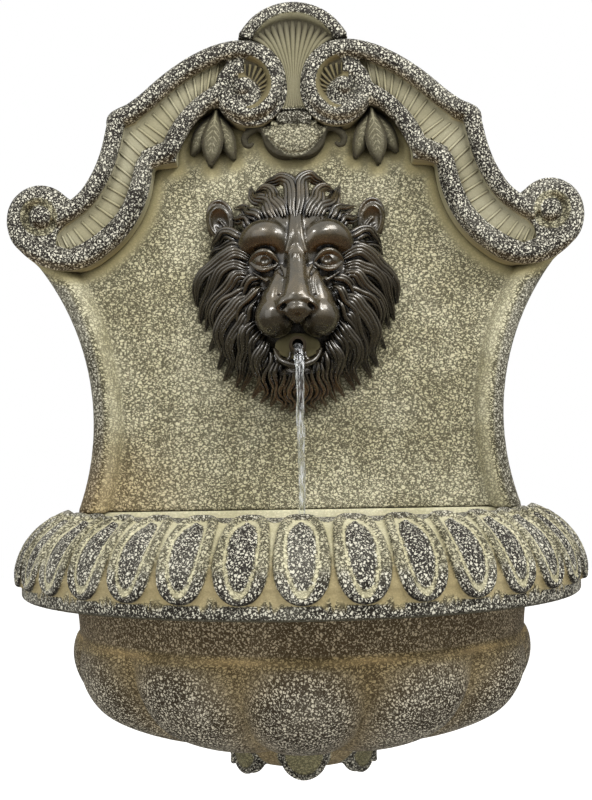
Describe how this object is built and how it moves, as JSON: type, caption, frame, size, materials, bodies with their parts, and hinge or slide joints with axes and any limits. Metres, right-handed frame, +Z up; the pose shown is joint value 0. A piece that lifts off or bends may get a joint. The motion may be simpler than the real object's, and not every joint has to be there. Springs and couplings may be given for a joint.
{
  "type": "garden wall fountain",
  "caption": "Half-round gadrooned basin under a scrolled back panel, with a lion mask spout fed by a hidden recirculating pump.",
  "frame": {"origin": "on the wall plane, on the middle line, level with the top of the basin's rim", "axes": "+X to the viewer's right, +Y into the wall, so the front faces -Y, +Z up"},
  "size_m": [0.493, 0.2469, 0.6591],
  "materials": {
    "cast_stone": "cast resin stone, cream with a brown antique wash, matt",
    "antique_bronze": "cast resin with a dark antique bronze finish, half gloss",
    "dark_brass": "darkened brass, satin",
    "black_rubber": "moulded rubber, matt",
    "clear_vinyl": "clear vinyl hose, glossy",
    "galvanised_steel": "zinc plated",
    "black_plastic": "moulded, satin",
    "grey_plastic": "moulded, satin",
    "white_plastic": "moulded, satin",
    "ferrite": "sintered ferrite magnet",
    "pump_ceramic": "polished ceramic",
    "laminated_steel": "laminated steel core and winding, potted"
  },
  "bodies": {
    "root": {"back_panel": "cast_stone", "scroll_frame_left": "cast_stone", "scroll_frame_right": "cast_stone", "crest_shell": "cast_stone", "crest_boss": "cast_stone", "leaf_spray_left": "cast_stone", "leaf_spray_right": "cast_stone", "basin_rim": "cast_stone", "basin_bowl": "cast_stone", "bowl_pendant": "cast_stone", "lion_mask": "antique_bronze", "spout_tube": "dark_brass", "spout_elbow": "dark_brass", "spout_nut": "dark_brass", "drain_bush": "dark_brass", "spout_washer": "black_rubber", "hose_grommet": "black_rubber", "cable_grommet": "black_rubber", "rim_gasket": "black_rubber", "suction_feet": "black_rubber", "supply_hose": "clear_vinyl", "hanger_plate": "galvanised_steel", "hanger_screws": "galvanised_steel", "joining_bracket_left": "galvanised_steel", "joining_bracket_right": "galvanised_steel", "bracket_screws": "galvanised_steel", "mask_studs": "galvanised_steel", "mask_washers": "galvanised_steel", "mask_nuts": "galvanised_steel", "pump_housing": "black_plastic", "pump_cover": "black_plastic", "cable_gland": "black_plastic", "hose_clips": "black_plastic", "pump_shaft": "pump_ceramic", "thrust_washer": "pump_ceramic", "stator": "laminated_steel"},
    "rotor": {"impeller": "white_plastic", "rotor_magnet": "ferrite"},
    "dial": {"flow_dial": "grey_plastic"},
    "strainer_cage": {"strainer": "black_plastic"},
    "plug": {"drain_plug": "black_rubber"}
  },
  "joints": [
    {"name": "rotor_spin", "type": "hinge", "parent": "root", "child": "rotor", "pos_m": [0, -0.055, -0.149], "axis": [0, -1, 0], "continuous": true},
    {"name": "dial_turn", "type": "hinge", "parent": "root", "child": "dial", "pos_m": [0.0234, -0.055, -0.149], "axis": [1, 0, 0], "range_deg": [0, 90]},
    {"name": "strainer_off", "type": "slide", "parent": "root", "child": "strainer_cage", "axis": [0, -1, 0], "range_m": [0, 0.03]},
    {"name": "plug_lift", "type": "slide", "parent": "root", "child": "plug", "axis": [0, 0, 1], "range_m": [0, 0.03]}
  ]
}
